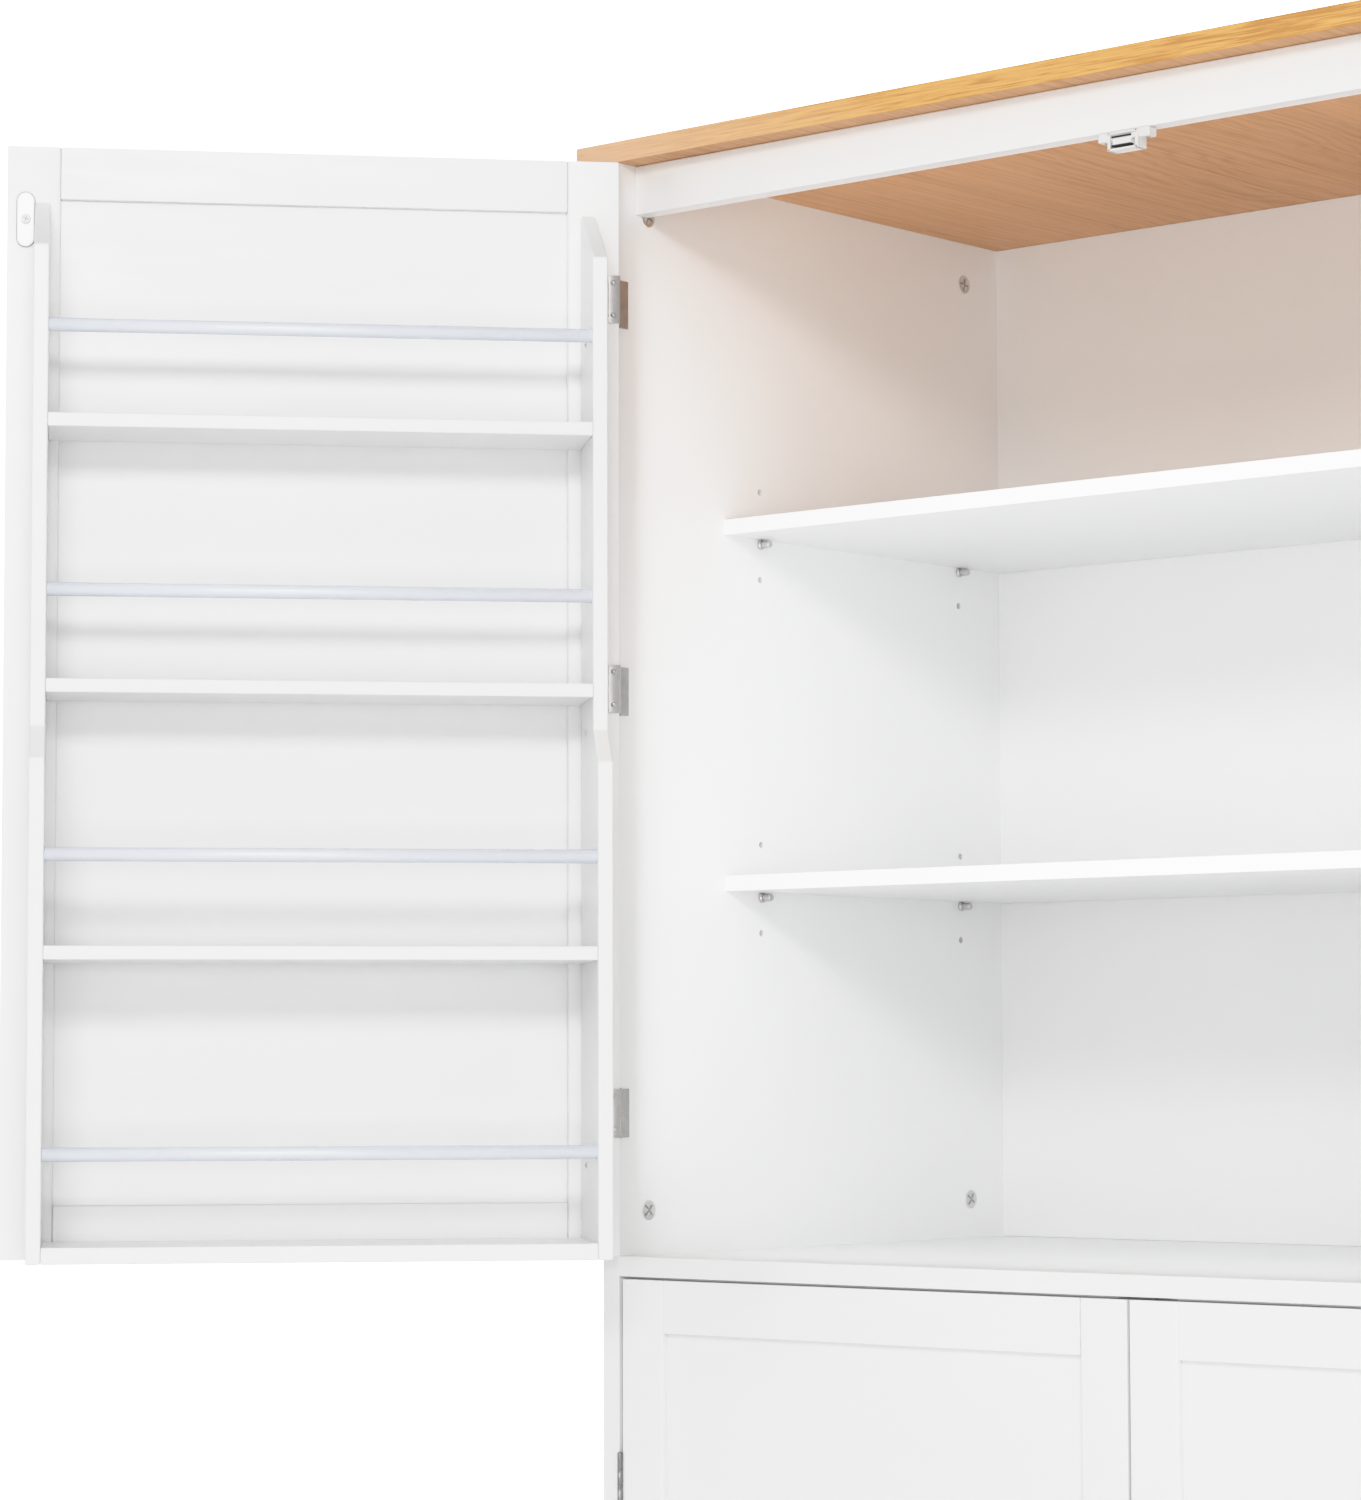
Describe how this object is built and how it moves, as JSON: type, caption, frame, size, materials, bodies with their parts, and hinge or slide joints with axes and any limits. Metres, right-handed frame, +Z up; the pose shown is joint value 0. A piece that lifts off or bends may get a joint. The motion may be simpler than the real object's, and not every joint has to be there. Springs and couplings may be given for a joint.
{
  "type": "pantry cabinet",
  "caption": "Tall white pantry cabinet with an oak-effect top, framed double doors above and below, adjustable shelves and tiered racks inside the upper doors.",
  "frame": {"origin": "bottom centre of the bounding box, on the floor, with both upper doors standing open as in the picture", "axes": "+Z up, the doors face -Y, +X to the right of someone facing the cabinet"},
  "size_m": [1.534, 0.899, 1.8],
  "materials": {
    "white_board": "white melamine-faced board, satin",
    "back_board": "thin white-faced fibreboard, matt",
    "oak_board": "oak-effect laminate, satin",
    "hinge_steel": "nickel plated",
    "rod_steel": "white powder coat",
    "white_plastic": "moulded, satin",
    "knob_metal": "satin nickel"
  },
  "bodies": {
    "cabinet": {"top_board": "oak_board", "left_side_panel": "white_board", "right_side_panel": "white_board", "top_rail": "white_board", "divider_board": "white_board", "bottom_board": "white_board", "toe_kick": "white_board", "upper_back_panel": "back_board", "lower_back_panel": "back_board", "upper_shelf": "white_board", "middle_shelf": "white_board", "lower_shelf": "white_board", "upper_magnetic_catch": "white_plastic", "lower_magnetic_catch": "white_plastic", "upper_left_hinge_top": "hinge_steel", "upper_left_hinge_middle": "hinge_steel", "upper_left_hinge_bottom": "hinge_steel", "lower_left_hinge_top": "hinge_steel", "lower_left_hinge_bottom": "hinge_steel", "upper_right_hinge_top": "hinge_steel", "upper_right_hinge_middle": "hinge_steel", "upper_right_hinge_bottom": "hinge_steel", "lower_right_hinge_top": "hinge_steel", "lower_right_hinge_bottom": "hinge_steel"},
    "upper_left_door": {"upper_left_door_frame": "white_board", "upper_left_door_panel": "white_board", "upper_left_strike_plate": "white_plastic", "upper_left_knob": "knob_metal", "upper_left_rack_hinge_side": "white_board", "upper_left_rack_free_side": "white_board", "upper_left_rack_bottom_board": "white_board", "upper_left_rack_lower_board": "white_board", "upper_left_rack_middle_board": "white_board", "upper_left_rack_upper_board": "white_board", "upper_left_rack_bottom_rod": "rod_steel", "upper_left_rack_lower_rod": "rod_steel", "upper_left_rack_middle_rod": "rod_steel", "upper_left_rack_upper_rod": "rod_steel"},
    "upper_right_door": {"upper_right_door_frame": "white_board", "upper_right_door_panel": "white_board", "upper_right_strike_plate": "white_plastic", "upper_right_knob": "knob_metal", "upper_right_rack_hinge_side": "white_board", "upper_right_rack_free_side": "white_board", "upper_right_rack_bottom_board": "white_board", "upper_right_rack_lower_board": "white_board", "upper_right_rack_middle_board": "white_board", "upper_right_rack_upper_board": "white_board", "upper_right_rack_bottom_rod": "rod_steel", "upper_right_rack_lower_rod": "rod_steel", "upper_right_rack_middle_rod": "rod_steel", "upper_right_rack_upper_rod": "rod_steel"},
    "lower_left_door": {"lower_left_door_frame": "white_board", "lower_left_door_panel": "white_board", "lower_left_strike_plate": "white_plastic", "lower_left_knob": "knob_metal"},
    "lower_right_door": {"lower_right_door_frame": "white_board", "lower_right_door_panel": "white_board", "lower_right_strike_plate": "white_plastic", "lower_right_knob": "knob_metal"}
  },
  "joints": [
    {"name": "upper_left_door_hinge", "type": "hinge", "parent": "cabinet", "child": "upper_left_door", "pos_m": [-0.4565, -0.04192, 1.3717], "axis": [0, 0, -1], "range_deg": [-131, 34]},
    {"name": "upper_right_door_hinge", "type": "hinge", "parent": "cabinet", "child": "upper_right_door", "pos_m": [0.4565, -0.04192, 1.3717], "axis": [0, 0, 1], "range_deg": [-131, 34]},
    {"name": "lower_left_door_hinge", "type": "hinge", "parent": "cabinet", "child": "lower_left_door", "pos_m": [-0.4565, -0.04192, 0.5367], "axis": [0, 0, -1], "range_deg": [0, 165]},
    {"name": "lower_right_door_hinge", "type": "hinge", "parent": "cabinet", "child": "lower_right_door", "pos_m": [0.4565, -0.04192, 0.5367], "axis": [0, 0, 1], "range_deg": [0, 165]}
  ]
}
